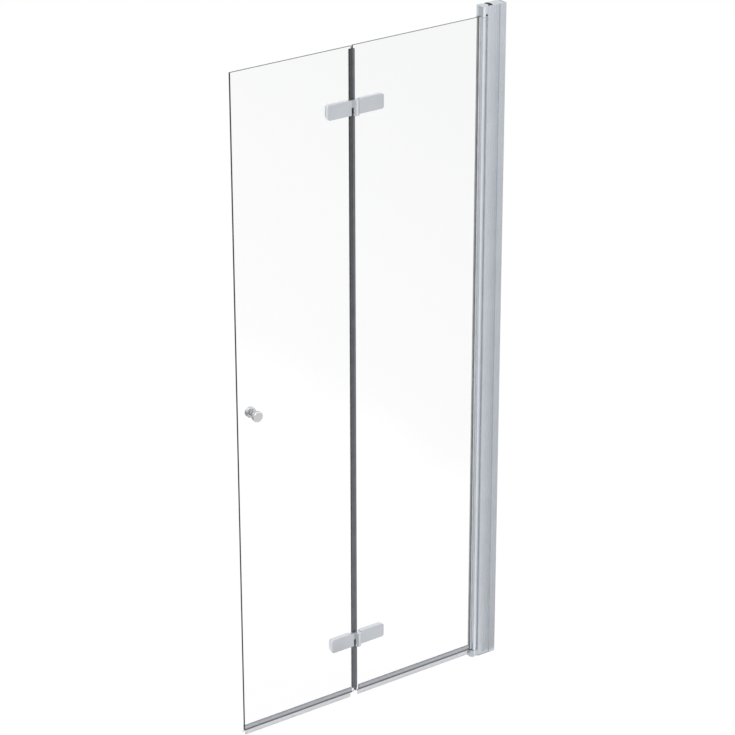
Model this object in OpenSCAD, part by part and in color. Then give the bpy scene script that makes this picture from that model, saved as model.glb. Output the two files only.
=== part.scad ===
// Two-leaf folding shower door hung on a wall post.
// X runs along the wall opening: the wall face is X = 0 and the door reaches towards -X.
// Y points into the shower, so the front side is -Y. Z is up, with the foot of the post at 0.

/* [Door] */

// overall width from the wall face to the free edge of the leading pane
door_w = 867; // [780:1:1100]
// height of the wall post
door_h = 2000; // [1800:5:2200]
// thickness of both glass panes
glass_t = 6; // [5:0.5:8]
// width of the leading pane
lead_w = 372.8; // [300:0.1:400]
// space between the two panes at the fold
glass_gap = 4.6; // [4.6:0.1:8]
// height of the lower glass edges above the foot
glass_lift = 24.3; // [24:0.1:40]
// how much higher the top of the wall-side pane stands than that of the leading pane
wall_pane_rise = 1.2; // [0:0.1:5]

/* [Wall channel] */

// width of the channel seen from the front
channel_w = 20; // [16:1:26]
// sheet thickness of the channel
channel_wall = 1.8; // [1.4:0.1:2.4]
// radius of the wall fixing holes
fixing_r = 2.75; // [2:0.05:3.5]
// number of wall fixing holes
fixing_count = 4; // [3:1:6]
// height of the first and last fixing hole from the channel ends
fixing_end = 100; // [60:5:250]

/* [Post] */

// depth of the post profile
post_d = 30; // [29:0.5:36]
// wall thickness of the post profile
post_wall = 1.6; // [1.2:0.1:2]
// width of the post front between the groove and the channel
post_front_w = 39.5; // [36:0.5:60]
// thickness of the foot cap
foot_t = 3; // [2:0.5:5]
// radius of the adjusting and block screws
screw_r = 2; // [1.5:0.1:2.5]
// number of adjusting screws along the post
adjust_count = 3; // [2:1:5]
// height of the first and last adjusting screw from the channel ends
adjust_end = 150; // [40:5:350]

/* [Wall pivot] */

// radius of the two pivot pins
pivot_pin_r = 3.5; // [3:0.1:3.8]
// running clearance round pins
pin_play = 0.05; // [0.02:0.01:0.1]
// wall thickness of the pivot bushes
bush_wall = 1.65; // [1.2:0.05:1.7]
// thickness of the bush flanges
bush_flange_t = 0.8; // [0.5:0.1:3]
// length of each pivot bush inside the core
bush_l = 24; // [15:1:40]
// outside radius of the turning core of the swing profile
core_r = 11; // [10:0.1:11.5]
// height of the upper pivot block
top_block_h = 29.5; // [26:0.5:50]
// height of the lower pivot block
foot_block_h = 22.6; // [14:0.1:23]
// radius of the rounded nose of the lower pivot block
foot_round = 10; // [8:0.5:12]
// height of the nose of the lower pivot block above the foot
nose_lift = 2; // [0:0.5:3]
// depth of the crescent recess beside the upper hub
recess_d = 14; // [6:1:18]
// width of the crescent recess beside the upper hub
recess_w = 11.5; // [6:0.5:14]
// radius of the set screw
set_r = 3.5; // [2:0.25:4]

/* [Swing profile] */

// width of the swing profile left of the groove
swing_w = 10; // [9.5:0.1:11]
// radius of the rounded long edges
swing_round = 4; // [2:0.1:4.2]
// radius of the long edge beside the groove
groove_round = 2.2; // [1:0.1:3]
// depth of the slot that holds the glass
slot_d = 6.8; // [5:0.1:7]
// thickness of the gasket in front of the glass
front_gasket_t = 1; // [0.5:0.1:2]
// thickness of the swing profile behind the slot
swing_rear_t = 3.5; // [2:0.1:6]
// how far the gaskets stand out of the slot
gasket_out = 3.3; // [0.5:0.1:5]

/* [Fold hinges] */

// length of the hinge plates on the wall-side pane
leaf_l = 79; // [64:1:100]
// length of the hinge plates on the leading pane
lead_leaf_l = 75; // [64:1:100]
// height of one hinge plate
leaf_h = 42; // [34:1:60]
// thickness of one hinge plate
leaf_t = 9.5; // [8:0.1:12]
// radius of the outer plate corners
leaf_round = 7; // [2:0.5:12]
// distance from the hinge axis to the inner end of the wall-side plates
wall_start = 11.5; // [10.5:0.1:16]
// radius of the hinge knuckles
knuckle_r = 7.8; // [7:0.1:8.4]
// how far the hinge axis stands in front of the plate faces
fold_clear = 3.2; // [2.5:0.1:4]
// radius of the hinge pins
hinge_pin_r = 3; // [2:0.1:3.5]
// wall thickness of the hinge bushes
hinge_bush_wall = 1.2; // [0.8:0.1:1.5]
// thickness of the bush collar between the two knuckles
collar_t = 1.2; // [0.6:0.1:2]
// thickness of the rubber pads
pad_t = 0.8; // [0.5:0.1:1.5]
// thickness of the rear clamp plates
back_plate_t = 5; // [4:0.5:8]
// how far the rear plates stay inside the outline of the front plates
back_inset = 4; // [2:0.5:6]
// distance between the two clamp screws of a plate
clamp_pitch = 40; // [30:1:44]
// radius of the clamp screws
clamp_r = 3; // [2:0.25:3.5]
// radius of the holes in the glass at the hinges
glass_hole_r = 8; // [6:0.5:9]
// distance from the glass top to the middle of the upper hinge
upper_drop = 166.5; // [100:0.5:400]
// distance from the glass foot to the middle of the lower hinge
lower_rise = 176.2; // [100:0.5:400]

/* [Seals] */

// how far the seal on the leading pane grips over the glass
seal_grip = 6.6; // [5:0.1:9]
// how far the seal on the wall-side pane grips over the glass
wall_seal_grip = 5; // [4:0.1:8]
// wall thickness of the seal clips
seal_wall = 1.4; // [1:0.1:2]
// solid nose of a fold seal beyond the glass edge
seal_nose = 2; // [1:0.1:2.1]
// distance from the glass top to the top of the fold seals
seal_drop = 8; // [2:1:20]
// how far the bottom seals grip up the glass
drip_grip = 14; // [10:0.5:20]
// depth of the fins below the glass edge
fin_drop = 14; // [10:0.5:20]
// distance from the fold to the wall-side bottom seal
drip_start = 12.6; // [9.5:0.1:20]
// distance from the lower pivot block to the wall-side bottom seal
drip_end = 2; // [1.5:0.5:20]
// distance from the fold seal to the front fin of the wall-side seal
fin_gap = 1.6; // [1:0.1:6]
// how far the front fins end before the end of their clip
fin_short = 6; // [1:0.5:15]

/* [Knob] */

// distance from the free glass edge to the knob axis
knob_edge = 51.6; // [40:0.5:100]
// height of the knob axis above the foot
knob_z = 995.4; // [800:0.5:1100]
// radius of the knob head
knob_r = 15; // [11:0.5:18]
// radius of the knob neck
neck_r = 7.5; // [6:0.5:9]
// distance from the glass to the knob face
knob_reach = 21; // [17:0.5:21]
// length of the knob neck
neck_l = 8; // [6:0.5:9]
// rounding of the knob head
knob_round = 1.8; // [0.5:0.1:2.5]
// radius of the knob stud
stud_r = 2.5; // [2:0.25:3]
// radius of the knob hole in the glass
knob_hole_r = 5; // [4:0.5:6]
// thickness of the knob washers
washer_t = 1; // [0.5:0.1:1.5]

/* [Hidden] */

// small parts that are kept at one size
groove_w = 7.5;
post_back_gap = 4;
pocket_play = 0.8;
pivot_reach = 3.5;
hub_rim = 1.5;
flange_inset = 1;
blind_end = 4;
set_sunk = 2;
set_rim = 1;
foot_toe = 7;
block_rear_round = 1;
block_screw_reach = 30;
block_screw_l = 8;
upper_screw_lift = 10;
lower_screw_lift = 7;
adjust_screw_l = 6;
post_seal_w = 7;
post_seal_t = 1;
wipe_gap = 0.35;
swing_back_cut = 1;
chamber_wall = 1.6;
chamber_r = 1;
glass_end_gap = 0.2;
fold_shift = 3.4;
knuckle_cap = 1;
collar_inset = 0.8;
pin_end_gap = 1;
clamp_depth = 6;
plate_corner_r = 3;
leaf_gap = 0.4;
knob_cap_t = 5;
hex_share = 0.7;

// small sizes of the seal sections
fold_seal_drop = 3;
mitre_lift = 11;
mitre_rise = 4;
mitre_nose = 18;
mitre_land = 1;
drip_base = 1.8;
lip_t = 1.2;
lip_reach = 12;
lip_drop = 12;
fin_t = 1.4;
fin_step = 0.8;
fin_notch = 1;
seal_end_gap = 1.8;

// oversize of cutters and facet counts
eps = 0.5;
round_fn = 96;
small_fn = 48;

// colours
metal_color = [0.78, 0.80, 0.83];
block_color = [0.72, 0.74, 0.77];
satin_color = [0.82, 0.83, 0.84];
steel_color = [0.62, 0.63, 0.65];
dark_color = [0.20, 0.20, 0.22];
seal_color = [0.60, 0.62, 0.64];
nylon_color = [0.92, 0.92, 0.90];
pane_color = [0.80, 0.92, 0.90, 0.35];

// post and pivot positions along X
post_left = -(channel_w + post_front_w);
post_right = -post_back_gap;
channel_d = post_d + 2 * channel_wall;
pivot_x = post_left - groove_w + pivot_reach;
swing_right = post_left - groove_w;
swing_left = swing_right - swing_w;
swing_front = -post_d / 2;
swing_back = post_d / 2 - swing_back_cut;
slot_end = swing_left + slot_d;
slot_front = -glass_t / 2 - front_gasket_t;
slot_back = swing_back - swing_rear_t;
sweep_r = norm([pivot_x - swing_left - swing_round, post_d / 2 - swing_round]) + swing_round;
pocket_r = sweep_r + pocket_play;
core_bore_r = pivot_pin_r + pin_play + bush_wall;
post_inner = post_d / 2 - post_wall;
hub_r = min(core_r + hub_rim, post_inner);
wipe_y = -sqrt(pow(core_r, 2) - pow(post_left - pivot_x, 2)) - wipe_gap;

// levels along Z
top_block_z = door_h - top_block_h;
swing_top = top_block_z - bush_flange_t;
swing_foot = foot_block_h + bush_flange_t;
wall_glass_top = swing_top;
glass_top = wall_glass_top - wall_pane_rise;
upper_z = glass_top - upper_drop;
lower_z = glass_lift + lower_rise;
recess_z = door_h - recess_d;
recess_r = hub_r + recess_w;
set_z = top_block_z + set_r + set_rim;

// pane edges and fold axis
lead_edge = -door_w + lead_w;
wall_pane_edge = lead_edge + glass_gap;
wall_pane_end = slot_end - glass_end_gap;
fold_x = lead_edge + glass_gap / 2 + fold_shift;
plate_front = glass_t / 2 + pad_t + leaf_t;
fold_y = -(plate_front + fold_clear);
collar_r = knuckle_r - collar_inset;
hinge_bore_r = hinge_pin_r + pin_play + hinge_bush_wall;
pin_half = leaf_h / 2 - knuckle_cap;
lead_start = glass_gap / 2 + fold_shift + seal_grip + leaf_gap;
head_r = 2 * clamp_r;
head_h = clamp_r;

// seals
seal_half = glass_t / 2 + seal_wall;
seal_top = glass_top - seal_drop;
seal_low = glass_lift - fold_seal_drop;
mitre_foot = glass_lift + mitre_lift;
mitre_top = mitre_foot + mitre_rise;
nose_foot = glass_lift + mitre_nose;
lip_end = glass_lift - lip_drop;

// ---- helpers ----

// rod along Z from z0 to z1
module rod(r, z0, z1) {
    translate([0, 0, z0]) cylinder(r = r, h = z1 - z0, $fn = small_fn);
}

// rod along +Y from y0 to y1
module rod_y(r, y0, y1) {
    translate([0, y0, 0]) rotate([-90, 0, 0]) cylinder(r = r, h = y1 - y0, $fn = small_fn);
}

// box given by its two corners
module span(a, b) {
    translate(a) cube(b - a);
}

// rectangle with four round corners, given by its two corners
module round_rect(a, b, r) {
    translate([a[0] + r, a[1]]) square([b[0] - a[0] - 2 * r, b[1] - a[1]]);
    translate([a[0], a[1] + r]) square([b[0] - a[0], b[1] - a[1] - 2 * r]);
    for (x = [a[0] + r, b[0] - r], y = [a[1] + r, b[1] - r])
        translate([x, y]) circle(r = r, $fn = small_fn);
}

// rectangle with round corners on its -X side only: radius rf at the front, rb at the back
module left_round_rect(a, b, rf, rb) {
    translate([a[0] + max(rf, rb), a[1]]) square([b[0] - a[0] - max(rf, rb), b[1] - a[1]]);
    translate([a[0], a[1] + rf]) square([b[0] - a[0], b[1] - a[1] - rf - rb]);
    translate([a[0] + rf, a[1]]) square([max(rf, rb) - rf + eps, b[1] - a[1] - rb]);
    translate([a[0] + rb, a[1] + rf]) square([max(rf, rb) - rb + eps, b[1] - a[1] - rf]);
    translate([a[0] + rf, a[1] + rf]) circle(r = rf, $fn = small_fn);
    translate([a[0] + rb, b[1] - rb]) circle(r = rb, $fn = small_fn);
}

// stands a drawing of the X-Z plane up and gives it the thickness y0 to y1
module upright(y0, y1) {
    translate([0, y1, 0]) rotate([90, 0, 0]) linear_extrude(y1 - y0) children();
}

// runs a drawing of the Y-Z plane along X from x0 to x1
module along_x(x0, x1) {
    translate([x0, 0, 0]) rotate([90, 0, 90]) linear_extrude(x1 - x0) children();
}

function fixing_z(i) = fixing_end + i * (door_h - 2 * fixing_end) / (fixing_count - 1);

function adjust_z(i) = adjust_end + i * (door_h - 2 * adjust_end) / (adjust_count - 1);

// distances from the hinge axis; side is -1 for the leading and 1 for the wall-side leaf
function leaf_from(side) = side > 0 ? wall_start : lead_start;
function leaf_len(side) = side > 0 ? leaf_l : lead_leaf_l;
function screw_at(side, d) = fold_x + side * (leaf_from(side) + leaf_len(side) / 2 + d);

// ---- fixed frame on the wall ----

adjust_x = -channel_w / 2;
block_screw_x = pivot_x + block_screw_reach;
upper_block_screw_z = top_block_z + upper_screw_lift;
lower_block_screw_z = foot_t + lower_screw_lift;
tongue_right = post_right - post_wall;

module channel_section() {
    difference() {
        translate([-channel_w, -channel_d / 2]) square([channel_w, channel_d]);
        translate([-channel_w - eps, -post_d / 2])
            square([channel_w - channel_wall + eps, post_d]);
    }
}

module wall_channel() {
    color(metal_color)
    difference() {
        linear_extrude(door_h) channel_section();
        for (i = [0 : fixing_count - 1])
            translate([-channel_wall - eps, 0, fixing_z(i)])
                rotate([0, 90, 0])
                cylinder(r = fixing_r, h = channel_wall + 2 * eps, $fn = small_fn);
        for (i = [0 : adjust_count - 1])
            translate([adjust_x, 0, adjust_z(i)])
                rod_y(screw_r, post_d / 2 - eps, channel_d / 2 + eps);
    }
}

module post_shell() {
    difference() {
        translate([post_left, -post_d / 2]) square([post_right - post_left, post_d]);
        translate([post_left - eps, -post_inner])
            square([post_right - post_wall - post_left + eps, 2 * post_inner]);
        intersection() {
            translate([pivot_x, 0]) circle(r = pocket_r, $fn = round_fn);
            translate([post_left - eps, -post_inner]) square([4 * post_d, 2 * post_d]);
        }
    }
}

module pocket_wall() {
    intersection() {
        difference() {
            translate([pivot_x, 0]) circle(r = pocket_r + post_wall, $fn = round_fn);
            translate([pivot_x, 0]) circle(r = pocket_r, $fn = round_fn);
        }
        translate([pivot_x, -post_d / 2]) square([2 * post_d, post_d]);
    }
}

// holes in the post: one per adjusting screw and one per block screw
module post_holes() {
    for (i = [0 : adjust_count - 1])
        translate([adjust_x, 0, adjust_z(i)]) rod_y(screw_r, post_inner - eps, post_d / 2 + eps);
    for (z = [upper_block_screw_z, lower_block_screw_z])
        translate([block_screw_x, 0, z]) rod_y(screw_r, post_inner - eps, post_d / 2 + eps);
}

module post_profile() {
    color(metal_color)
    difference() {
        union() {
            translate([0, 0, foot_t]) linear_extrude(door_h - foot_t) post_shell();
            translate([0, 0, foot_block_h])
                linear_extrude(top_block_z - foot_block_h) pocket_wall();
        }
        post_holes();
    }
}

// outline of the block part that stands in line with the swing profile
module nose_section(left, rf, rb) {
    left_round_rect([left, -post_d / 2], [post_left, post_d / 2], rf, rb);
}

// part of a block that sits inside the hollow of the post
module tongue(z0, z1) {
    span([post_left - eps, -post_inner, z0], [tongue_right, post_inner, z1]);
}

module top_pivot_block() {
    color(block_color)
    difference() {
        union() {
            translate([0, 0, top_block_z]) linear_extrude(top_block_h) {
                nose_section(swing_left, swing_round, block_rear_round);
                translate([pivot_x, 0]) circle(r = hub_r, $fn = round_fn);
            }
            tongue(top_block_z, recess_z);
            difference() {
                tongue(recess_z - eps, door_h);
                translate([pivot_x, 0, 0]) rod(recess_r, recess_z - 2 * eps, door_h + eps);
            }
        }
        translate([pivot_x, 0, 0]) rod(pivot_pin_r, top_block_z - eps, door_h - blind_end);
        translate([pivot_x, 0, set_z]) rod_y(set_r, -post_d / 2 - eps, 0);
        translate([block_screw_x, 0, upper_block_screw_z])
            rod_y(screw_r, post_d / 2 - block_screw_l, post_inner + eps);
    }
}

module foot_pivot_block() {
    color(block_color)
    difference() {
        union() {
            translate([0, 0, nose_lift]) linear_extrude(foot_block_h - nose_lift)
                nose_section(swing_left - foot_toe, foot_round, foot_round);
            tongue(foot_t, foot_block_h);
        }
        translate([pivot_x, 0, 0]) rod(pivot_pin_r, blind_end, foot_block_h + eps);
        translate([block_screw_x, 0, lower_block_screw_z])
            rod_y(screw_r, post_d / 2 - block_screw_l, post_inner + eps);
    }
}

module foot_cap() {
    color(block_color)
    span([post_left, -post_d / 2, 0], [-channel_wall, post_d / 2, foot_t]);
}

module upper_pivot_pin() {
    color(steel_color)
    translate([pivot_x, 0, 0]) rod(pivot_pin_r, swing_top - bush_l, door_h - blind_end);
}

module lower_pivot_pin() {
    color(steel_color)
    translate([pivot_x, 0, 0]) rod(pivot_pin_r, blind_end, swing_foot + bush_l);
}

module set_screw() {
    color(steel_color)
    translate([pivot_x, 0, set_z])
    difference() {
        rod_y(set_r, -post_d / 2 + set_sunk, -pivot_pin_r);
        translate([0, -post_d / 2 + set_sunk - eps, 0]) rotate([-90, 0, 0])
            cylinder(r = set_r * hex_share, h = set_r + eps, $fn = 6);
    }
}

// button-headed screw along -Y with the underside of its head at the origin
module button_screw(r, l) {
    rod_y(r, -l, 0);
    difference() {
        rod_y(2 * r, 0, r);
        translate([0, r / 2, 0]) rotate([-90, 0, 0]) cylinder(r = r * hex_share, h = r, $fn = 6);
    }
}

module adjusting_screws() {
    color(steel_color)
    for (i = [0 : adjust_count - 1])
        translate([adjust_x, channel_d / 2, adjust_z(i)]) button_screw(screw_r, adjust_screw_l);
}

module block_screws() {
    color(steel_color)
    for (z = [upper_block_screw_z, lower_block_screw_z])
        translate([block_screw_x, post_d / 2, z]) button_screw(screw_r, block_screw_l);
}

module post_seal() {
    color(dark_color)
    translate([0, 0, foot_block_h]) linear_extrude(top_block_z - foot_block_h) {
        translate([post_left, -post_inner]) square([post_seal_w, post_seal_t]);
        translate([post_left, -post_inner]) square([post_seal_t, post_inner + wipe_y]);
    }
}

// ---- wall-side leaf ----

module swing_section() {
    difference() {
        union() {
            left_round_rect([swing_left, swing_front], [swing_right - groove_round, swing_back],
                            swing_round, swing_round);
            translate([swing_right - groove_round - eps, swing_front + groove_round])
                square([groove_round + eps, swing_back - swing_front - groove_round]);
            translate([swing_right - groove_round, swing_front + groove_round])
                circle(r = groove_round, $fn = small_fn);
            translate([pivot_x, 0]) circle(r = core_r, $fn = round_fn);
        }
        translate([swing_left - eps, slot_front])
            square([slot_d + eps, slot_back - slot_front]);
        translate([pivot_x, 0]) circle(r = core_bore_r, $fn = round_fn);
        round_rect([swing_left + chamber_wall, swing_front + chamber_wall],
                   [swing_right - chamber_wall, slot_front - chamber_wall], chamber_r);
    }
}

module swing_profile() {
    color(metal_color)
    translate([0, 0, swing_foot]) linear_extrude(swing_top - swing_foot) swing_section();
}

// bush with a flange at z and its body reaching to z_end
module pivot_bush(z_flange, z0, z1) {
    translate([pivot_x, 0, 0])
    difference() {
        union() {
            rod(core_bore_r, z0, z1);
            rod(core_r - flange_inset, z_flange, z_flange + bush_flange_t);
        }
        rod(pivot_pin_r + pin_play, min(z0, z_flange) - eps, max(z1, z_flange + bush_flange_t) + eps);
    }
}

module upper_pivot_bush() {
    color(nylon_color)
    pivot_bush(swing_top, swing_top - bush_l, swing_top + bush_flange_t / 2);
}

module lower_pivot_bush() {
    color(nylon_color)
    pivot_bush(foot_block_h, foot_block_h + bush_flange_t / 2, swing_foot + bush_l);
}

// holes for both hinges in a pane; side is -1 for the leading and 1 for the wall-side pane
module hinge_holes(side) {
    for (z = [upper_z, lower_z], d = [-clamp_pitch / 2, clamp_pitch / 2])
        translate([screw_at(side, d), 0, z])
            rod_y(glass_hole_r, -glass_t, glass_t);
}

module wall_side_glass() {
    color(pane_color)
    difference() {
        span([wall_pane_edge, -glass_t / 2, glass_lift],
             [wall_pane_end, glass_t / 2, wall_glass_top]);
        hinge_holes(1);
    }
}

module front_gasket() {
    color(seal_color)
    span([swing_left - gasket_out, slot_front, glass_lift],
         [slot_end, -glass_t / 2, swing_top]);
}

module back_gasket() {
    color(dark_color)
    span([swing_left - gasket_out, glass_t / 2, glass_lift], [slot_end, slot_back, swing_top]);
}

// clip of the bottom seals in the Y-Z plane, with the sloping lip that throws water back inside
module clip_section() {
    difference() {
        translate([-seal_half, glass_lift - drip_base])
            square([2 * seal_half, drip_base + drip_grip]);
        translate([-glass_t / 2, glass_lift]) square([glass_t, drip_grip + eps]);
    }
    polygon([[-lip_t / 2, glass_lift - drip_base / 2], [lip_reach - lip_t, lip_end],
             [lip_reach, lip_end + lip_t], [lip_t, glass_lift - drip_base / 2]]);
}

// front fin of the bottom seals with a thicker upper half
module fin_section() {
    translate([-seal_half, glass_lift - fin_drop]) square([fin_t, fin_drop]);
    translate([-seal_half - fin_step, glass_lift - fin_drop / 2])
        square([2 * fin_step, fin_drop / 2 - fin_notch]);
}

module wall_bottom_seal() {
    clip_from = wall_pane_edge + drip_start;
    fin_from = wall_pane_edge + wall_seal_grip + fin_gap;
    clip_to = swing_left - foot_toe - drip_end;
    color(seal_color) {
        along_x(clip_from, clip_to) clip_section();
        along_x(fin_from, clip_to - fin_short) fin_section();
    }
}

// fold seal clipped on a pane edge; the clip reaches from x_grip to x_nose
module fold_clip(x_grip, x_nose, x_glass0, x_glass1) {
    difference() {
        span([min(x_grip, x_nose), -seal_half, seal_low],
             [max(x_grip, x_nose), seal_half, seal_top]);
        span([x_glass0, -glass_t / 2, seal_low - eps], [x_glass1, glass_t / 2, seal_top + eps]);
    }
}

module wall_fold_seal() {
    color(dark_color)
    difference() {
        fold_clip(wall_pane_edge - seal_nose, wall_pane_edge + wall_seal_grip,
                  wall_pane_edge, wall_pane_edge + wall_seal_grip + eps);
        upright(-seal_half - eps, seal_half + eps)
            polygon([[wall_pane_edge - seal_nose - eps, seal_low - eps],
                     [wall_pane_edge + wall_seal_grip - mitre_land, seal_low - eps],
                     [wall_pane_edge - seal_nose - eps, nose_foot]]);
    }
}

// hinge plate with its knuckle; side is -1 or 1, up is 1 when it carries the upper knuckle
module leaf(side, up) {
    inner = fold_x + side * leaf_from(side);
    outer = inner + side * leaf_len(side);
    knuckle_z0 = up > 0 ? collar_t / 2 : -leaf_h / 2;
    knuckle_z1 = up > 0 ? leaf_h / 2 : -collar_t / 2;
    bore_r = up > 0 ? hinge_bore_r : hinge_pin_r;
    difference() {
        union() {
            upright(-plate_front, -glass_t / 2 - pad_t) {
                round_rect([min(inner, outer), -leaf_h / 2], [max(inner, outer), leaf_h / 2],
                           leaf_round);
                translate([min(inner, (inner + outer) / 2), -leaf_h / 2])
                    square([leaf_len(side) / 2, leaf_h]);
            }
            span([min(fold_x, inner + side), -plate_front, knuckle_z0],
                 [max(fold_x, inner + side), fold_y + knuckle_r, knuckle_z1]);
            translate([fold_x, fold_y, 0]) rod(knuckle_r, knuckle_z0, knuckle_z1);
        }
        translate([fold_x, fold_y, 0]) rod(bore_r, -pin_half, pin_half);
        for (d = [-clamp_pitch / 2, clamp_pitch / 2])
            translate([screw_at(side, d), 0, 0])
                rod_y(clamp_r, -glass_t / 2 - pad_t - clamp_depth, 0);
    }
}

// rear plate with countersunk holes
module back_plate(side) {
    x0 = fold_x + side * (leaf_from(side) + back_inset);
    x1 = x0 + side * (leaf_len(side) - 2 * back_inset);
    y0 = glass_t / 2 + pad_t;
    difference() {
        upright(y0, y0 + back_plate_t)
            round_rect([min(x0, x1), -leaf_h / 2 + back_inset],
                       [max(x0, x1), leaf_h / 2 - back_inset], plate_corner_r);
        for (d = [-clamp_pitch / 2, clamp_pitch / 2])
            translate([screw_at(side, d), 0, 0]) {
                rod_y(clamp_r, y0 - eps, y0 + back_plate_t + eps);
                translate([0, y0 + back_plate_t - head_h, 0]) rotate([-90, 0, 0])
                    cylinder(r1 = clamp_r, r2 = head_r, h = head_h, $fn = small_fn);
            }
    }
}

// rubber pad between a plate and the glass
module pad(side, y0) {
    x0 = fold_x + side * (leaf_from(side) + back_inset);
    x1 = x0 + side * (leaf_len(side) - 2 * back_inset);
    difference() {
        upright(y0, y0 + pad_t)
            round_rect([min(x0, x1), -leaf_h / 2 + back_inset],
                       [max(x0, x1), leaf_h / 2 - back_inset], plate_corner_r);
        for (d = [-clamp_pitch / 2, clamp_pitch / 2])
            translate([screw_at(side, d), 0, 0]) rod_y(clamp_r, y0 - eps, y0 + pad_t + eps);
    }
}

// countersunk screws of both hinges
module clamp_screws(side) {
    back = glass_t / 2 + pad_t + back_plate_t;
    for (z = [upper_z, lower_z], d = [-clamp_pitch / 2, clamp_pitch / 2])
        translate([screw_at(side, d), 0, z])
        difference() {
            union() {
                rod_y(clamp_r, -glass_t / 2 - pad_t - clamp_depth, back - head_h);
                translate([0, back - head_h, 0]) rotate([-90, 0, 0])
                    cylinder(r1 = clamp_r, r2 = head_r, h = head_h, $fn = small_fn);
            }
            translate([0, back - head_h * hex_share, 0]) rotate([-90, 0, 0])
                cylinder(r = clamp_r * hex_share, h = head_h, $fn = 6);
        }
}

// sleeves that keep the screws off the glass
module hole_sleeves(side) {
    for (z = [upper_z, lower_z], d = [-clamp_pitch / 2, clamp_pitch / 2])
        translate([screw_at(side, d), 0, z])
        difference() {
            rod_y(glass_hole_r, -glass_t / 2, glass_t / 2);
            rod_y(clamp_r, -glass_t, glass_t);
        }
}

module hinge_pin() {
    translate([fold_x, fold_y, 0]) rod(hinge_pin_r, -pin_half, pin_half - pin_end_gap);
}

module hinge_bush() {
    translate([fold_x, fold_y, 0])
    difference() {
        union() {
            rod(hinge_bore_r, 0, pin_half);
            rod(collar_r, -collar_t / 2, collar_t / 2);
        }
        rod(hinge_pin_r + pin_play, -collar_t, pin_half + eps);
    }
}

module upper_wall_leaf() { color(satin_color) translate([0, 0, upper_z]) leaf(1, -1); }
module lower_wall_leaf() { color(satin_color) translate([0, 0, lower_z]) leaf(1, -1); }
module upper_wall_back_plate() { color(satin_color) translate([0, 0, upper_z]) back_plate(1); }
module lower_wall_back_plate() { color(satin_color) translate([0, 0, lower_z]) back_plate(1); }
module upper_wall_front_pad() {
    color(dark_color) translate([0, 0, upper_z]) pad(1, -glass_t / 2 - pad_t);
}
module upper_wall_back_pad() { color(dark_color) translate([0, 0, upper_z]) pad(1, glass_t / 2); }
module lower_wall_front_pad() {
    color(dark_color) translate([0, 0, lower_z]) pad(1, -glass_t / 2 - pad_t);
}
module lower_wall_back_pad() { color(dark_color) translate([0, 0, lower_z]) pad(1, glass_t / 2); }
module wall_clamp_screws() { color(steel_color) clamp_screws(1); }
module wall_hole_sleeves() { color(nylon_color) hole_sleeves(1); }
module upper_hinge_pin() { color(steel_color) translate([0, 0, upper_z]) hinge_pin(); }
module lower_hinge_pin() { color(steel_color) translate([0, 0, lower_z]) hinge_pin(); }

// ---- leading leaf ----

knob_x = -door_w + knob_edge;

module leading_glass() {
    color(pane_color)
    difference() {
        span([-door_w, -glass_t / 2, glass_lift], [lead_edge, glass_t / 2, glass_top]);
        hinge_holes(-1);
        translate([knob_x, 0, knob_z]) rod_y(knob_hole_r, -glass_t, glass_t);
    }
}

module upper_lead_leaf() { color(satin_color) translate([0, 0, upper_z]) leaf(-1, 1); }
module lower_lead_leaf() { color(satin_color) translate([0, 0, lower_z]) leaf(-1, 1); }
module upper_lead_back_plate() { color(satin_color) translate([0, 0, upper_z]) back_plate(-1); }
module lower_lead_back_plate() { color(satin_color) translate([0, 0, lower_z]) back_plate(-1); }
module upper_lead_front_pad() {
    color(dark_color) translate([0, 0, upper_z]) pad(-1, -glass_t / 2 - pad_t);
}
module upper_lead_back_pad() { color(dark_color) translate([0, 0, upper_z]) pad(-1, glass_t / 2); }
module lower_lead_front_pad() {
    color(dark_color) translate([0, 0, lower_z]) pad(-1, -glass_t / 2 - pad_t);
}
module lower_lead_back_pad() { color(dark_color) translate([0, 0, lower_z]) pad(-1, glass_t / 2); }
module lead_clamp_screws() { color(steel_color) clamp_screws(-1); }
module lead_hole_sleeves() { color(nylon_color) hole_sleeves(-1); }
module upper_hinge_bush() { color(nylon_color) translate([0, 0, upper_z]) hinge_bush(); }
module lower_hinge_bush() { color(nylon_color) translate([0, 0, lower_z]) hinge_bush(); }

module lead_fold_seal() {
    color(dark_color)
    difference() {
        fold_clip(lead_edge - seal_grip, lead_edge + seal_nose,
                  lead_edge - seal_grip - eps, lead_edge);
        upright(-seal_half - eps, seal_half + eps)
            polygon([[lead_edge - seal_grip - eps, seal_low - eps],
                     [lead_edge + seal_nose + eps, seal_low - eps],
                     [lead_edge + seal_nose + eps, mitre_top],
                     [lead_edge - seal_grip - eps, mitre_foot]]);
    }
}

module lead_bottom_seal() {
    clip_to = lead_edge - seal_grip - seal_end_gap;
    color(seal_color) {
        along_x(-door_w, clip_to) clip_section();
        along_x(-door_w, clip_to - fin_short) fin_section();
    }
}

// half of the knob, with its foot at the origin and its face towards +Z
module knob_half() {
    body_l = knob_reach - washer_t;
    rotate_extrude($fn = round_fn) {
        difference() {
            union() {
                square([neck_r, body_l - knob_round]);
                translate([0, neck_l]) square([knob_r - knob_round, body_l - neck_l]);
                translate([0, neck_l + knob_round])
                    square([knob_r, body_l - neck_l - 2 * knob_round]);
                for (y = [neck_l + knob_round, body_l - knob_round])
                    translate([knob_r - knob_round, y]) circle(r = knob_round, $fn = small_fn);
            }
            translate([-eps, -eps]) square([stud_r + eps, body_l - knob_cap_t + eps]);
        }
    }
}

module knob_front() {
    color(satin_color)
    translate([knob_x, -glass_t / 2 - washer_t, knob_z]) rotate([90, 0, 0]) knob_half();
}

module knob_back() {
    color(satin_color)
    translate([knob_x, glass_t / 2 + washer_t, knob_z]) rotate([-90, 0, 0]) knob_half();
}

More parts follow.
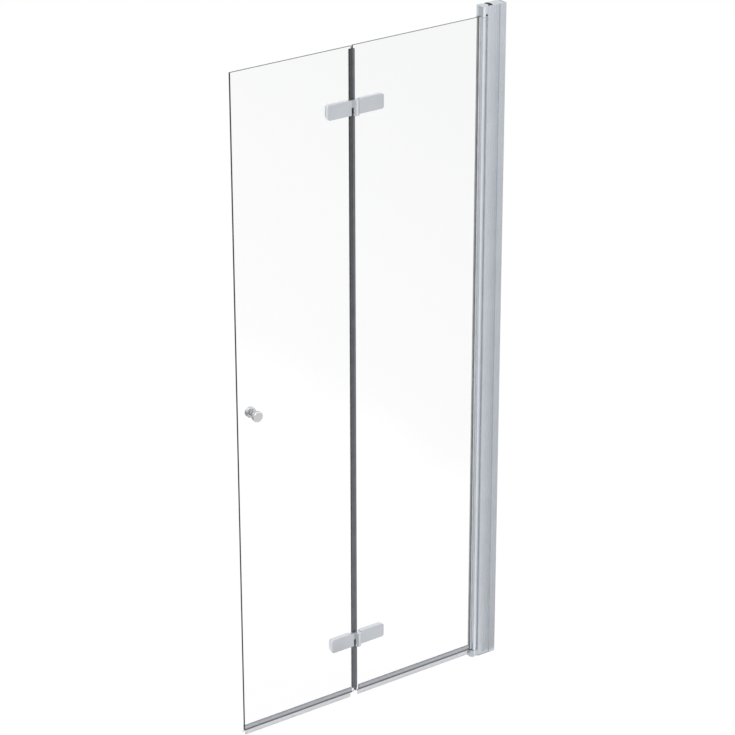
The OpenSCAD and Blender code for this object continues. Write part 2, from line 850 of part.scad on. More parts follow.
module knob_stud() {
    reach = glass_t / 2 + knob_reach - knob_cap_t;
    color(steel_color)
    translate([knob_x, 0, knob_z]) rod_y(stud_r, -reach, reach);
}

// flanged washer whose spigot fills half the hole in the glass
module knob_washer() {
    difference() {
        union() {
            rod(neck_r, glass_t / 2, glass_t / 2 + washer_t);
            rod(knob_hole_r, 0, glass_t / 2 + washer_t / 2);
        }
        rod(stud_r, -eps, glass_t / 2 + washer_t + eps);
    }
}

module knob_front_washer() {
    color(nylon_color) translate([knob_x, 0, knob_z]) rotate([90, 0, 0]) knob_washer();
}

module knob_back_washer() {
    color(nylon_color) translate([knob_x, 0, knob_z]) rotate([-90, 0, 0]) knob_washer();
}

// ---- nodes ----

wall_channel();
post_profile();
top_pivot_block();
foot_pivot_block();
foot_cap();
upper_pivot_pin();
lower_pivot_pin();
set_screw();
adjusting_screws();
block_screws();
post_seal();
swing_profile();
upper_pivot_bush();
lower_pivot_bush();
wall_side_glass();
front_gasket();
back_gasket();
wall_bottom_seal();
wall_fold_seal();
upper_wall_leaf();
lower_wall_leaf();
upper_wall_back_plate();
lower_wall_back_plate();
upper_wall_front_pad();
upper_wall_back_pad();
lower_wall_front_pad();
lower_wall_back_pad();
wall_clamp_screws();
wall_hole_sleeves();
upper_hinge_pin();
lower_hinge_pin();
leading_glass();
upper_lead_leaf();
lower_lead_leaf();
upper_lead_back_plate();
lower_lead_back_plate();
upper_lead_front_pad();
upper_lead_back_pad();
lower_lead_front_pad();
lower_lead_back_pad();
lead_clamp_screws();
lead_hole_sleeves();
upper_hinge_bush();
lower_hinge_bush();
lead_fold_seal();
lead_bottom_seal();
knob_front();
knob_back();
knob_stud();
knob_front_washer();
knob_back_washer();
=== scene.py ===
from math import cos, radians, sin, tan

import bpy
from mathutils import Matrix, Vector


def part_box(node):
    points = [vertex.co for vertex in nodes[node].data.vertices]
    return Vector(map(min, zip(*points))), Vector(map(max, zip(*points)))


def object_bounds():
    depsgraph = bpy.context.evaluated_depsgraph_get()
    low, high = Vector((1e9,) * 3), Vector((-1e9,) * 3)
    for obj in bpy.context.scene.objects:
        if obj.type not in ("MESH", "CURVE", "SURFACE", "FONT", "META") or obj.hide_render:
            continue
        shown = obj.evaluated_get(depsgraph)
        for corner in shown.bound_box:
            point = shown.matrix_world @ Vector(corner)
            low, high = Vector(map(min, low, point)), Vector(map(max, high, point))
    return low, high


# Look of a two-leaf folding shower door. Lengths are in metres, in the frame of the CAD model:
# the wall face is X = 0, the front faces -Y and Z is up.

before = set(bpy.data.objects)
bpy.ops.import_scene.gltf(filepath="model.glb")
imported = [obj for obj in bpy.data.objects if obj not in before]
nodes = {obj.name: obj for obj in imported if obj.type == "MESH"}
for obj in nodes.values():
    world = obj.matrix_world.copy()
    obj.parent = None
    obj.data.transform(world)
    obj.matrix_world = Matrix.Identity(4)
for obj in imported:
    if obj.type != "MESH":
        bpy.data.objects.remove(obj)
cad_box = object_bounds()

MM = 0.001
WHITE = (1.0, 1.0, 1.0)

# ---- places read from the CAD nodes ----

FREE_EDGE = cad_box[0].x
POST_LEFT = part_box("post_profile")[0].x
CHANNEL_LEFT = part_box("wall_channel")[0].x
DOOR_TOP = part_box("wall_channel")[1].z
BLOCK_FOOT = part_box("top_pivot_block")[0].z
PIN = (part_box("upper_pivot_pin")[0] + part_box("upper_pivot_pin")[1]) / 2
FOLD = (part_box("upper_hinge_pin")[0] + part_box("upper_hinge_pin")[1]) / 2
GLASS_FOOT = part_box("leading_glass")[0].z
SEAL_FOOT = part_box("wall_fold_seal")[0].z


def put(obj):
    """Links an object into the scene and hands it back."""
    bpy.context.scene.collection.objects.link(obj)
    return obj


# ---- camera ----

SENSOR = 36             # width in millimetres
FOCAL = 141.33          # millimetres
CLIP = (0.1, 100)
CAMERA_AT = Vector((-4.5282, -5.9068, 4.3507))
YAW, PITCH, ROLL = radians(34.666), radians(24.785), radians(-0.116)


def add_camera():
    """The camera of the photograph, from its place and its three angles."""
    right = Vector((cos(YAW), -sin(YAW), 0))
    ahead = Vector((sin(YAW) * cos(PITCH), cos(YAW) * cos(PITCH), -sin(PITCH)))
    up = right.cross(ahead)
    right, up = cos(ROLL) * right + sin(ROLL) * up, cos(ROLL) * up - sin(ROLL) * right
    cam = put(bpy.data.objects.new("camera", bpy.data.cameras.new("camera")))
    cam.data.lens = FOCAL
    cam.data.sensor_width = SENSOR
    cam.data.clip_start, cam.data.clip_end = CLIP
    turn = Matrix((right, up, -ahead)).transposed().to_4x4()
    cam.matrix_world = Matrix.Translation(CAMERA_AT) @ turn
    bpy.context.scene.camera = cam


# ---- studio ----

WORLD_LIGHT = 0.50      # what the white room gives to matt surfaces
FLOOR_MATT = 0.8        # colour of the floor for the light that it throws back
FLOOR_SHADE = 0.05      # share of the floor's look that takes shadows
FLOOR_GLOW = 1 - FLOOR_SHADE / 2
FLOOR_SIZE = 60.0


def seen_directly(tree):
    """1 for camera, glossy and transmission rays, 0 for the rest."""
    path = tree.nodes.new("ShaderNodeLightPath")
    best = path.outputs["Is Camera Ray"]
    for name in ("Is Glossy Ray", "Is Transmission Ray"):
        top = tree.nodes.new("ShaderNodeMath")
        top.operation = "MAXIMUM"
        tree.links.new(best, top.inputs[0])
        tree.links.new(path.outputs[name], top.inputs[1])
        best = top.outputs[0]
    return best


def choose(tree, lit, seen, output):
    """Ends a tree in the lit shader for most rays and in the seen one where it is seen directly."""
    mix = tree.nodes.new("ShaderNodeMixShader")
    tree.links.new(seen_directly(tree), mix.inputs[0])
    tree.links.new(lit.outputs[0], mix.inputs[1])
    tree.links.new(seen.outputs[0], mix.inputs[2])
    tree.links.new(mix.outputs[0], tree.nodes[output].inputs["Surface"])


def add_world():
    """White where it is seen, dimmer where it lights."""
    world = bpy.data.worlds.new("studio")
    bpy.context.scene.world = world
    world.use_nodes = True
    tree = world.node_tree
    light = tree.nodes["Background"]
    light.inputs["Color"].default_value = (*WHITE, 1)
    light.inputs["Strength"].default_value = WORLD_LIGHT
    white = tree.nodes.new("ShaderNodeBackground")
    white.inputs["Color"].default_value = (*WHITE, 1)
    white.inputs["Strength"].default_value = 1.0
    choose(tree, light, white, "World Output")


def add_floor():
    """White floor that keeps a faint shadow."""
    mesh = bpy.data.meshes.new("floor")
    h = FLOOR_SIZE / 2
    mesh.from_pydata([(-h, -h, 0), (h, -h, 0), (h, h, 0), (-h, h, 0)], [], [(0, 1, 2, 3)])
    floor = put(bpy.data.objects.new("floor", mesh))
    mat = bpy.data.materials.new("floor")
    mat.use_nodes = True
    tree = mat.node_tree
    tree.nodes.remove(tree.nodes["Principled BSDF"])
    matt = tree.nodes.new("ShaderNodeBsdfDiffuse")
    matt.inputs["Color"].default_value = (FLOOR_MATT,) * 3 + (1,)
    faint = tree.nodes.new("ShaderNodeBsdfDiffuse")
    faint.inputs["Color"].default_value = (FLOOR_SHADE,) * 3 + (1,)
    glow = tree.nodes.new("ShaderNodeEmission")
    glow.inputs["Strength"].default_value = FLOOR_GLOW
    both = tree.nodes.new("ShaderNodeAddShader")
    tree.links.new(faint.outputs[0], both.inputs[0])
    tree.links.new(glow.outputs[0], both.inputs[1])
    choose(tree, matt, both, "Material Output")
    mesh.materials.append(mat)


AIM = Vector((-0.43, 0, 1.0))
LAMPS = {   # name: place, width, height, watts
    "key": ((-2.2, -4.4, 3.8), 2.4, 2.4, 120),
    "top": ((-0.9, -0.8, 5.2), 3.6, 3.6, 70),
    "fill": ((3.2, -3.4, 2.4), 2.4, 2.4, 30),
    "rear": ((-1.6, 4.6, 3.2), 5.0, 3.4, 80),
}


def add_lamps():
    """Soft area lamps; none shows through the glass, and the rear one shows in no mirror."""
    for name, (place, wide, high, watts) in LAMPS.items():
        lamp = bpy.data.lights.new(name, "AREA")
        lamp.shape = "RECTANGLE"
        lamp.size, lamp.size_y = wide, high
        lamp.energy = watts
        obj = put(bpy.data.objects.new(name, lamp))
        obj.location = place
        obj.rotation_euler = (AIM - Vector(place)).to_track_quat("-Z", "Y").to_euler()
        obj.visible_transmission = False
        obj.visible_glossy = name != "rear"


# ---- material tools ----

NOISE_LOW, NOISE_HIGH = 0.3, 0.7        # most noise values lie between these
FLAT = 0.9              # a face lies flat to an axis where its normal's share is above this


class Look:
    """A Principled material with its node tree at hand."""

    def __init__(self, name, color, metallic=0.0, roughness=0.5, **sockets):
        self.mat = bpy.data.materials.new(name)
        self.mat.use_nodes = True
        self.tree = self.mat.node_tree
        self.shader = self.tree.nodes["Principled BSDF"]
        self.set("Base Color", (*color, 1))
        self.set("Metallic", metallic)
        self.set("Roughness", roughness)
        for socket, value in sockets.items():
            self.set(socket, value)
        self.coord = self.tree.nodes.new("ShaderNodeTexCoord")
        self.normal = None

    def set(self, socket, value):
        self.shader.inputs[socket].default_value = value

    def add(self, kind, **settings):
        node = self.tree.nodes.new(kind)
        for key, value in settings.items():
            setattr(node, key, value)
        return node

    def link(self, out, into):
        self.tree.links.new(out, into)

    def surface(self, shader):
        """Makes a shader node the material's surface."""
        self.link(shader.outputs[0], self.tree.nodes["Material Output"].inputs["Surface"])

    def math(self, operation, *values):
        """Math node; each value is a number or a socket."""
        node = self.add("ShaderNodeMath", operation=operation)
        for value, into in zip(values, node.inputs):
            if isinstance(value, (int, float)):
                into.default_value = value
            else:
                self.link(value, into)
        return node.outputs[0]

    def both(self, *masks):
        """Product of the masks, which is 1 where all of them are 1."""
        total = masks[0]
        for mask in masks[1:]:
            total = self.math("MULTIPLY", total, mask)
        return total

    def reach(self, dx, dy):
        """Length of the vector dx, dy."""
        return self.math("SQRT", self.math("ADD", self.math("MULTIPLY", dx, dx),
                                           self.math("MULTIPLY", dy, dy)))

    def axes(self, output):
        """The X, Y and Z sockets of a texture coordinate output."""
        parts = self.add("ShaderNodeSeparateXYZ")
        self.link(self.coord.outputs[output], parts.inputs[0])
        return parts.outputs

    def noise(self, scale, detail=2.0, stretch=(1, 1, 1)):
        """Noise value in object space, stretched per axis."""
        place = self.add("ShaderNodeMapping")
        place.inputs["Scale"].default_value = stretch
        tex = self.add("ShaderNodeTexNoise")
        tex.inputs["Scale"].default_value = scale
        tex.inputs["Detail"].default_value = detail
        self.link(self.coord.outputs["Object"], place.inputs["Vector"])
        self.link(place.outputs["Vector"], tex.inputs["Vector"])
        return tex.outputs["Fac"]

    def spread(self, value, low, high, start=NOISE_LOW, end=NOISE_HIGH):
        """Maps a value between start and end to low..high."""
        node = self.add("ShaderNodeMapRange")
        node.inputs["From Min"].default_value = start
        node.inputs["From Max"].default_value = end
        node.inputs["To Min"].default_value = low
        node.inputs["To Max"].default_value = high
        self.link(value, node.inputs["Value"])
        return node.outputs["Result"]

    def ramp(self, value, stops):
        """Colour along a list of (place, colour)."""
        node = self.add("ShaderNodeValToRGB")
        points = node.color_ramp.elements
        while len(points) < len(stops):
            points.new(0.5)
        for point, (place, color) in zip(points, stops):
            point.position = place
            point.color = (*color, 1)
        self.link(value, node.inputs["Fac"])
        return node.outputs["Color"]

    def cloudy(self, color, scale, variation):
        """The colour, slowly varied by a share to both sides."""
        return self.ramp(self.noise(scale), [(NOISE_LOW, shade(color, 1 - variation)),
                                             (NOISE_HIGH, shade(color, 1 + variation))])

    def times(self, color, value, low):
        """Colour multiplied by 1 where value is 0 and by low where it is 1."""
        node = self.add("ShaderNodeMix", data_type="RGBA", blend_type="MULTIPLY")
        node.inputs["B"].default_value = (low, low, low, 1)
        self.link(value, node.inputs["Factor"])
        self.link(color, node.inputs["A"])
        return node.outputs["Result"]

    def product(self, one, other):
        """Two colours multiplied."""
        node = self.add("ShaderNodeMix", data_type="RGBA", blend_type="MULTIPLY")
        node.inputs["Factor"].default_value = 1
        self.link(one, node.inputs["A"])
        self.link(other, node.inputs["B"])
        return node.outputs["Result"]

    def crown(self, x_mid, half, tilt):
        """Front and back faces behave as if bowed outwards by tilt degrees at x_mid +- half."""
        lean = self.spread(self.axes("Object")["X"], -tan(radians(tilt)), tan(radians(tilt)),
                           x_mid - half, x_mid + half)
        facing = self.math("ABSOLUTE", self.axes("Normal")["Y"])
        lean = self.math("MULTIPLY", lean, self.math("GREATER_THAN", facing, FLAT))
        vector = self.add("ShaderNodeCombineXYZ")
        self.link(lean, vector.inputs["X"])
        turn = self.add("ShaderNodeVectorTransform", vector_type="VECTOR",
                        convert_from="OBJECT", convert_to="WORLD")
        self.link(vector.outputs[0], turn.inputs[0])
        total = self.add("ShaderNodeVectorMath", operation="ADD")
        self.link(self.add("ShaderNodeNewGeometry").outputs["Normal"], total.inputs[0])
        self.link(turn.outputs[0], total.inputs[1])
        unit = self.add("ShaderNodeVectorMath", operation="NORMALIZE")
        self.link(total.outputs[0], unit.inputs[0])
        self.normal = unit.outputs[0]

    def bump(self, height, strength, distance):
        node = self.add("ShaderNodeBump")
        node.inputs["Strength"].default_value = strength
        node.inputs["Distance"].default_value = distance
        self.link(height, node.inputs["Height"])
        if self.normal:
            self.link(self.normal, node.inputs["Normal"])
        self.link(node.outputs["Normal"], self.shader.inputs["Normal"])

    def grainy(self, grain, rough, depth):
        """Grain in roughness, given as middle and swing, and in bump, as strength and depth."""
        middle, swing = rough
        self.link(self.spread(grain, middle - swing, middle + swing), self.shader.inputs["Roughness"])
        self.bump(grain, *depth)
        return self.mat


def shade(color, share):
    return tuple(c * share for c in color)


# ---- cards that metal mirrors ----

CARD_LIFT = 4 * MM
CARD_STEP = 4.0         # degrees between the corners of a card's rim
CARDS = {   # name: apex on the floor, (bearing in degrees, tone) stops, distances of its fade
    "card_wall_side": ((-0.040, -0.02), [(22, 1.0), (34, 0.84), (36, 0.84), (40, 0.70), (44, 0.70),
                                         (48, 0.50), (76, 0.50), (96, 1.0)], (7.0, 17.0)),
    "card_free_side": ((-0.070, 0.02), [(-160, 1.0), (-138, 0.46), (-70, 0.46), (-46, 1.0)],
                       (10.0, 26.0)),
}
NEAR_BEARING = (44, 48)     # from here towards the wall the card is lighter near the foot
NEAR_FADE = (0.15, 0.29)    # distances over which that ends
NEAR_LIGHT = 0.14


def card_tone(name, apex, tones, fade):
    """Light of a card: its tone by bearing, fading to white towards its rim."""
    look = Look(name, WHITE)
    look.tree.nodes.remove(look.shader)
    spot = look.axes("Object")
    dx = look.math("SUBTRACT", spot["X"], apex[0])
    dy = look.math("SUBTRACT", apex[1], spot["Y"])
    bearing = look.math("ARCTAN2", dx, dy)
    away = look.reach(dx, dy)
    first, last = tones[0][0], tones[-1][0]
    tone = look.ramp(look.spread(bearing, 0, 1, radians(first), radians(last)),
                     [((deg - first) / (last - first), shade(WHITE, t)) for deg, t in tones])
    near = look.both(look.spread(away, NEAR_LIGHT, 0, *NEAR_FADE),
                     look.spread(bearing, 0, 1, *map(radians, NEAR_BEARING)))
    dark = look.math("SUBTRACT", look.math("SUBTRACT", 1, tone), near)
    dark = look.math("MULTIPLY", dark, look.spread(away, 1, 0, *fade))
    glow = look.add("ShaderNodeEmission")
    look.link(look.math("SUBTRACT", 1, dark), glow.inputs["Strength"])
    look.surface(glow)
    return look.mat


def add_cards():
    """Cards on the floor that only mirror-like surfaces see, fanned out from the post's foot.

    A bearing is 0 towards -Y and positive towards the wall.
    """
    for number, (name, (apex, tones, fade)) in enumerate(CARDS.items()):
        lift = CARD_LIFT + number * MM
        first, last = tones[0][0], tones[-1][0]
        steps = round((last - first) / CARD_STEP)
        rim = [radians(first + (last - first) * i / steps) for i in range(steps + 1)]
        corners = [apex] + [(apex[0] + fade[1] * sin(a), apex[1] - fade[1] * cos(a)) for a in rim]
        mesh = bpy.data.meshes.new(name)
        mesh.from_pydata([(x, y, lift) for x, y in corners], [], [range(len(corners))])
        card = put(bpy.data.objects.new(name, mesh))
        mesh.materials.append(card_tone(name, apex, tones, fade))
        card.visible_camera = card.visible_diffuse = False
        card.visible_transmission = card.visible_shadow = False


# ---- masks: each gives 1 on some faces of a piece and 0 elsewhere; the metals paint light and shade with them ----

# A painted highlight along the rounded front of the turning edge, put into the colour.
PAINTED_GLINT = [   # share of the painted highlight strip from its left end, brightness
    (0.0, 0.72), (0.15, 0.76), (0.28, 0.96), (0.40, 1.0), (0.52, 0.86), (0.75, 0.76), (1.0, 0.72),
]
PAINTED_GLINT_LEFT, PAINTED_GLINT_RIGHT = PIN.x - 13.8 * MM, PIN.x + 2.2 * MM
FORWARD = -0.3          # a face looks into the room where its normal's Y is below this
FACING = 0.5            # a face faces an axis where its normal's share is above this
ENDWAYS = 0.7           # share of the normal's X above which a face is an outer end
SIDEWAYS = 0.3          # share of the normal's X at which the knuckles' painted highlight ends
UPPER = (0.1, 0.8)      # share of the normal's Z where upper sides begin and are full
REAR_PAINTED_LIGHT = 4.5 * MM   # the block's end gets painted light behind this plane
KNUCKLE = 8 * MM        # reach of the knuckles' painted highlight to both sides of the fold
RECESS_NEAR, RECESS_FAR = 12.0 * MM, 24.6 * MM      # from the pivot's axis
RECESS_LEFT = POST_LEFT - 0.2 * MM
RECESS_RIM, RECESS_FOOT = DOOR_TOP - 0.3 * MM, BLOCK_FOOT + 8 * MM


def painted_glint(look):
    """Painted highlight: brightness along X of the forward faces at the turning edge; plain
    elsewhere.
    """
    along = look.spread(look.axes("Object")["X"], 0, 1, PAINTED_GLINT_LEFT, PAINTED_GLINT_RIGHT)
    forward = look.math("LESS_THAN", look.axes("Normal")["Y"], FORWARD)
    return look.ramp(look.both(along, forward), [(p, shade(WHITE, t)) for p, t in PAINTED_GLINT])


def painted_end_light(look):
    """Painted light on the rear half of the upper block's left face."""
    spot = look.axes("Object")
    return look.both(look.math("GREATER_THAN", spot["Y"], REAR_PAINTED_LIGHT),
                     look.math("LESS_THAN", look.axes("Normal")["X"], -FACING),
                     look.math("GREATER_THAN", spot["Z"], BLOCK_FOOT))


def end_faces(look):
    """Faces turned away from the room and from the shower; the hinges get painted light on them and
    the knob painted shade.
    """
    return look.math("LESS_THAN", look.math("ABSOLUTE", look.axes("Normal")["Y"]), FACING)


def outer_ends(look):
    """Faces turned along the door, towards the free edge or the wall; the hinges get painted light on
    them.
    """
    return look.math("GREATER_THAN", look.math("ABSOLUTE", look.axes("Normal")["X"]), ENDWAYS)


def upper_sides(look):
    """From 0 on upright faces to 1 on faces turned upwards; the knob gets painted light along it."""
    return look.spread(look.axes("Normal")["Z"], 0, 1, *UPPER)


def knuckle_painted_glint(look):
    """A painted highlight in a strip along the front of the hinge knuckles."""
    away = look.math("ABSOLUTE", look.math("SUBTRACT", look.axes("Object")["X"], FOLD.x))
    normal = look.axes("Normal")
    return look.both(look.math("LESS_THAN", look.math("ABSOLUTE", normal["X"]), SIDEWAYS),
                     look.math("LESS_THAN", normal["Y"], -FACING),
                     look.math("LESS_THAN", away, KNUCKLE))


def painted_recess_shade(look):
    """Painted shade on the walls and the floor of the crescent recess in the upper block."""
    x, y, z = look.axes("Object")
    away = look.reach(look.math("SUBTRACT", x, PIN.x), look.math("SUBTRACT", y, PIN.y))
    return look.both(look.math("GREATER_THAN", away, RECESS_NEAR),
                     look.math("LESS_THAN", away, RECESS_FAR),
                     look.math("GREATER_THAN", x, RECESS_LEFT),
                     look.math("LESS_THAN", z, RECESS_RIM),
                     look.math("GREATER_THAN", z, RECESS_FOOT))


# ---- materials ----

METAL_CLOUDS, RUBBER_CLOUDS = 14, 30        # scales of the slow variation in tone
RUBBER_GRAIN, CLIP_GRAIN = 900, 400         # scales of the fine grain
METAL_SWING, METAL_BUMP = 0.05, 0.25        # grain's reach in roughness, and strength in bump
RUBBER_SWING, RUBBER_BUMP = 0.06, 0.3
RUBBER_VARIATION = 0.1
CLIP_SWING, CLIP_BUMP = 0.07, 0.2
CLIP_ROUGH = 0.37
GRAIN_DEPTH = 0.02      # millimetres
SOFT_GLOSS, CLIP_GLOSS = 0.3, 0.35      # of the seals and strips, and of the bottom seals


def metal(name, color, metallic, rough, grain, stretch=(1, 1, 1), variation=0.03,
          depth=GRAIN_DEPTH, crown=None, painted_highlight=None, zones=()):
    """Satin metal with a slow variation in tone and a fine grain; its highlight ramp and zones, which
    are (mask, brightness), paint light and shade into its colour.
    """
    look = Look(name, color, metallic)
    if crown:
        look.crown(*crown)
    fine = look.noise(grain, 3.0, stretch)
    tone = look.cloudy(color, METAL_CLOUDS, variation)
    if painted_highlight:
        tone = look.product(tone, painted_highlight(look))
    for mask, share in zones:
        tone = look.times(tone, mask(look), share)
    look.link(tone, look.shader.inputs["Base Color"])
    return look.grainy(fine, (rough, METAL_SWING), (METAL_BUMP, depth * MM))


TIP_FROM, TIP_TO = SEAL_FOOT + 2 * MM, SEAL_FOOT + 14 * MM      # where the painted light on a fold seal's tip fades out


def rubber(name, color, rough=0.55, top_share=None, tip_painted_light=None, gloss=0.5):
    """Matt rubber or plastic; top_share is how much of its colour is left at the door's top.

    The tip share is how much painted light brightens the lower end of a fold seal, lifting the shade
    there.
    """
    look = Look(name, color, 0.0, **{"Specular IOR Level": gloss})
    fine = look.noise(RUBBER_GRAIN, 3.0)
    tone = look.cloudy(color, RUBBER_CLOUDS, RUBBER_VARIATION)
    if top_share:
        height = look.spread(look.axes("Object")["Z"], 0, 1, 0, DOOR_TOP)
        tone = look.times(tone, height, top_share)
    if tip_painted_light:
        tip = look.spread(look.axes("Object")["Z"], 1, 0, TIP_FROM, TIP_TO)
        tone = look.times(tone, tip, tip_painted_light)
    look.link(tone, look.shader.inputs["Base Color"])
    return look.grainy(fine, (rough, RUBBER_SWING), (RUBBER_BUMP, GRAIN_DEPTH * MM))


GLASS_GREYING = [(0.0, WHITE), (0.20, (0.984, 0.986, 0.985)), (0.27, (0.955, 0.958, 0.956)),
        (0.36, (0.944, 0.948, 0.946)), (0.66, (0.938, 0.942, 0.940)),
        (0.82, (0.930, 0.935, 0.933)), (1.0, (0.922, 0.928, 0.926))]
GREYING_FROM, GREYING_TO = 0.9, 2.3   # of height plus GREYING_SLOPE of the distance from the free edge
GREYING_SLOPE = 0.8
GREYING_WAVE, GREYING_WAVES = 0.12, 3.0       # height and noise scale of the waves in the greying
GLASS_IOR = 1.5
LAMP_PASS = (0.96, 0.97, 0.965)         # share of a lamp's light that each face lets through
SIDE_EDGE = (0.030, 0.036, 0.034)
TOP_EDGE = (0.090, 0.100, 0.097)
EDGE_ROUGH, EDGE_GLOSS = 0.3, 0.3
ARRIS = 0.8 * MM        # ground corner along the free edge


def pane(name):
    """Clear toughened glass with dark polished edges, tinted faintly greyer towards the top and away
    from the free edge.
    """
    look = Look(name, WHITE, 0.0, 0.0, **{"Transmission Weight": 1.0, "IOR": GLASS_IOR})
    spot = look.axes("Object")
    slant = look.math("MULTIPLY_ADD", spot["X"], GREYING_SLOPE, -GREYING_SLOPE * FREE_EDGE)
    slant = look.math("ADD", slant, spot["Z"])
    wave = look.math("MULTIPLY_ADD", look.noise(GREYING_WAVES, 1.0), GREYING_WAVE, -GREYING_WAVE / 2)
    along = look.spread(look.math("ADD", slant, wave), 0, 1, GREYING_FROM, GREYING_TO)
    look.link(look.ramp(along, GLASS_GREYING), look.shader.inputs["Base Color"])
    # edges: wherever the surface doesn't face +Y or -Y, and the corner along the free edge
    normal = look.axes("Normal")
    edge = look.math("LESS_THAN", look.math("ABSOLUTE", normal["Y"]), FLAT)
    edge = look.math("MAXIMUM", edge, look.math("LESS_THAN", spot["X"], FREE_EDGE + ARRIS))
    tone = look.add("ShaderNodeMix", data_type="RGBA")
    tone.inputs["A"].default_value = (*SIDE_EDGE, 1)
    tone.inputs["B"].default_value = (*TOP_EDGE, 1)
    look.link(look.math("ABSOLUTE", normal["Z"]), tone.inputs["Factor"])
    ground = look.add("ShaderNodeBsdfPrincipled")
    ground.inputs["Roughness"].default_value = EDGE_ROUGH
    ground.inputs["Specular IOR Level"].default_value = EDGE_GLOSS
    look.link(tone.outputs["Result"], ground.inputs["Base Color"])
    body = look.add("ShaderNodeMixShader")
    look.link(edge, body.inputs[0])
    look.link(look.shader.outputs[0], body.inputs[1])
    look.link(ground.outputs[0], body.inputs[2])
    # lamps shine through
    clear = look.add("ShaderNodeBsdfTransparent")
    clear.inputs["Color"].default_value = (*LAMP_PASS, 1)
    path = look.add("ShaderNodeLightPath")
    out = look.add("ShaderNodeMixShader")
    look.link(path.outputs["Is Shadow Ray"], out.inputs[0])
    look.link(body.outputs[0], out.inputs[1])
    look.link(clear.outputs[0], out.inputs[2])
    look.surface(out)
    return look.mat


BAND_TOP = 25 * MM      # the bottom seals' colour bands end this far above the glass foot
# the dark band from 0.50 to 0.565 is a painted dark line where the glass foot shows through the clip
BANDS = [   # share of the way from the floor to the bands' end, colour
    (0.25, (0.61, 0.62, 0.64)), (0.40, (0.68, 0.69, 0.71)), (0.47, (0.66, 0.67, 0.69)),
    (0.50, (0.13, 0.14, 0.15)), (0.565, (0.13, 0.14, 0.15)), (0.60, (0.34, 0.35, 0.38)),
    (0.68, (0.46, 0.475, 0.505)), (0.75, (0.35, 0.365, 0.39)), (0.80, (0.48, 0.495, 0.52)),
]


def banded_seal(name):
    """Soft seal: grey clip on the glass, a painted dark line where the glass foot shows through the
    clip, a milky fin below.
    """
    look = Look(name, BANDS[-1][1], 0.0, CLIP_ROUGH, **{"Specular IOR Level": CLIP_GLOSS})
    height = look.spread(look.axes("Object")["Z"], 0, 1, 0, GLASS_FOOT + BAND_TOP)
    look.link(look.ramp(height, BANDS), look.shader.inputs["Base Color"])
    return look.grainy(look.noise(CLIP_GRAIN, 2.0), (CLIP_ROUGH, CLIP_SWING),
                       (CLIP_BUMP, GRAIN_DEPTH * MM))


ALUMINIUM = (0.565, 0.600, 0.643)
# aluminium lifted so that the painted highlight's ramp, plain below 1, brings it back
BRIGHT = shade(ALUMINIUM, 1 / PAINTED_GLINT[0][1])
EXTRUDED = dict(metallic=0.85, rough=0.28, grain=900, stretch=(1, 1, 0.004))
# cast metal carries the painted highlight at the turning edge
CAST = dict(metallic=0.8, rough=0.34, grain=700, painted_highlight=painted_glint)
POST_MID, POST_HALF = (POST_LEFT + CHANNEL_LEFT) / 2, (CHANNEL_LEFT - POST_LEFT) / 2
POST_BOW = 5            # degrees that the post's front seems to lean at its sides


def paint(material, *names):
    """Gives CAD nodes this material in every slot."""
    for name in names:
        for s in nodes[name].material_slots:
            s.material = material


def ending(*ends):
    """Names of the CAD nodes that end in one of these."""
    return [n for n in nodes if n.endswith(ends)]


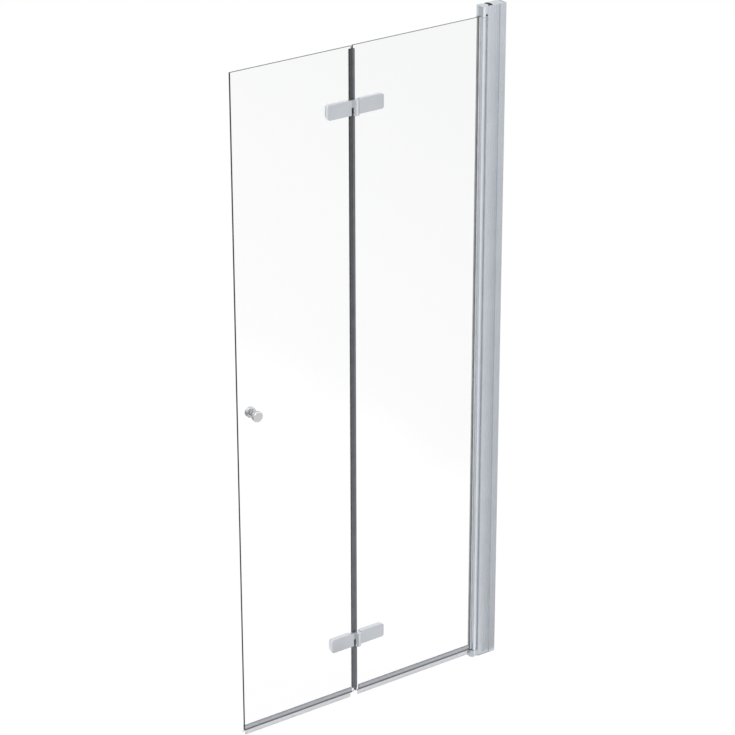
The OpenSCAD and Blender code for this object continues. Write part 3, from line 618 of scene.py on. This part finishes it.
def dress_nodes():
    """A material for each CAD node."""
    paint(metal("anodised_profile", ALUMINIUM, **EXTRUDED), "wall_channel")
    # the swing profile carries the painted highlight at its turning edge
    paint(metal("anodised_swing", BRIGHT, **EXTRUDED, painted_highlight=painted_glint), "swing_profile")
    paint(metal("anodised_post", ALUMINIUM, **EXTRUDED, crown=(POST_MID, POST_HALF, POST_BOW)),
          "post_profile")
    # and painted shade in its crescent recess
    # the upper block: painted light on the rear half of its left end
    paint(metal("cast_block", BRIGHT, **CAST, zones=((painted_end_light, 1.4), (painted_recess_shade, 0.22))),
          "top_pivot_block")
    # the foot block takes the cast colour darkened to 0.88, painted shade near the floor
    paint(metal("cast_foot_shaded", shade(BRIGHT, 0.88), **CAST), "foot_pivot_block")
    # satin hinge: painted light on its end faces and outer ends, a painted highlight on the knuckles
    paint(metal("satin_hinge", (0.545, 0.57, 0.60), 0.8, 0.34, 1100,
                zones=((end_faces, 1.25), (outer_ends, 1.12), (knuckle_painted_glint, 1.25))),
          *ending("_leaf", "_back_plate"))
    # polished knob: painted shade on its turned sides, painted light on its upper sides
    paint(metal("polished_knob", (0.57, 0.575, 0.59), 0.85, 0.32, 1100, variation=0.02, depth=0.01,
                zones=((end_faces, 0.72), (upper_sides, 1.42))), "knob_front", "knob_back")
    paint(metal("bare_steel", (0.42, 0.43, 0.45), 0.9, 0.32, 800, (1, 0.05, 1)),
          *ending("_screws", "_pin", "knob_stud"))
    # the set screw's near-black is partly its black oxide and partly painted shade in its sunk hole
    paint(metal("blackened_and_shaded_steel", (0.03, 0.03, 0.035), 0.3, 0.5, 800), "set_screw")
    # the fold seals' tip shares paint light onto their shaded lower ends
    paint(rubber("dark_seal", (0.122, 0.130, 0.143), gloss=SOFT_GLOSS, top_share=0.36,
                 tip_painted_light=2.2), "lead_fold_seal")
    paint(rubber("grey_seal", (0.142, 0.149, 0.161), gloss=SOFT_GLOSS, top_share=0.78,
                 tip_painted_light=5.5), "wall_fold_seal")
    paint(rubber("dark_strip", (0.27, 0.275, 0.28), gloss=SOFT_GLOSS), "back_gasket")
    paint(rubber("grey_strip", (0.58, 0.59, 0.61), gloss=SOFT_GLOSS), "front_gasket", "post_seal")
    paint(rubber("foot_plastic", (0.30, 0.31, 0.32), gloss=SOFT_GLOSS), "foot_cap")
    paint(rubber("pad_rubber", (0.52, 0.53, 0.54)), *ending("_pad"))
    paint(rubber("nylon", (0.62, 0.62, 0.60), 0.4), *ending("_bush", "_sleeves", "_washer"))
    paint(banded_seal("bottom_seal"), "wall_bottom_seal", "lead_bottom_seal")
    paint(pane("clear_glass"), "wall_side_glass", "leading_glass")


add_camera()
add_world()
add_floor()
add_cards()
add_lamps()
dress_nodes()

bpy.context.scene.view_settings.view_transform = "Standard"
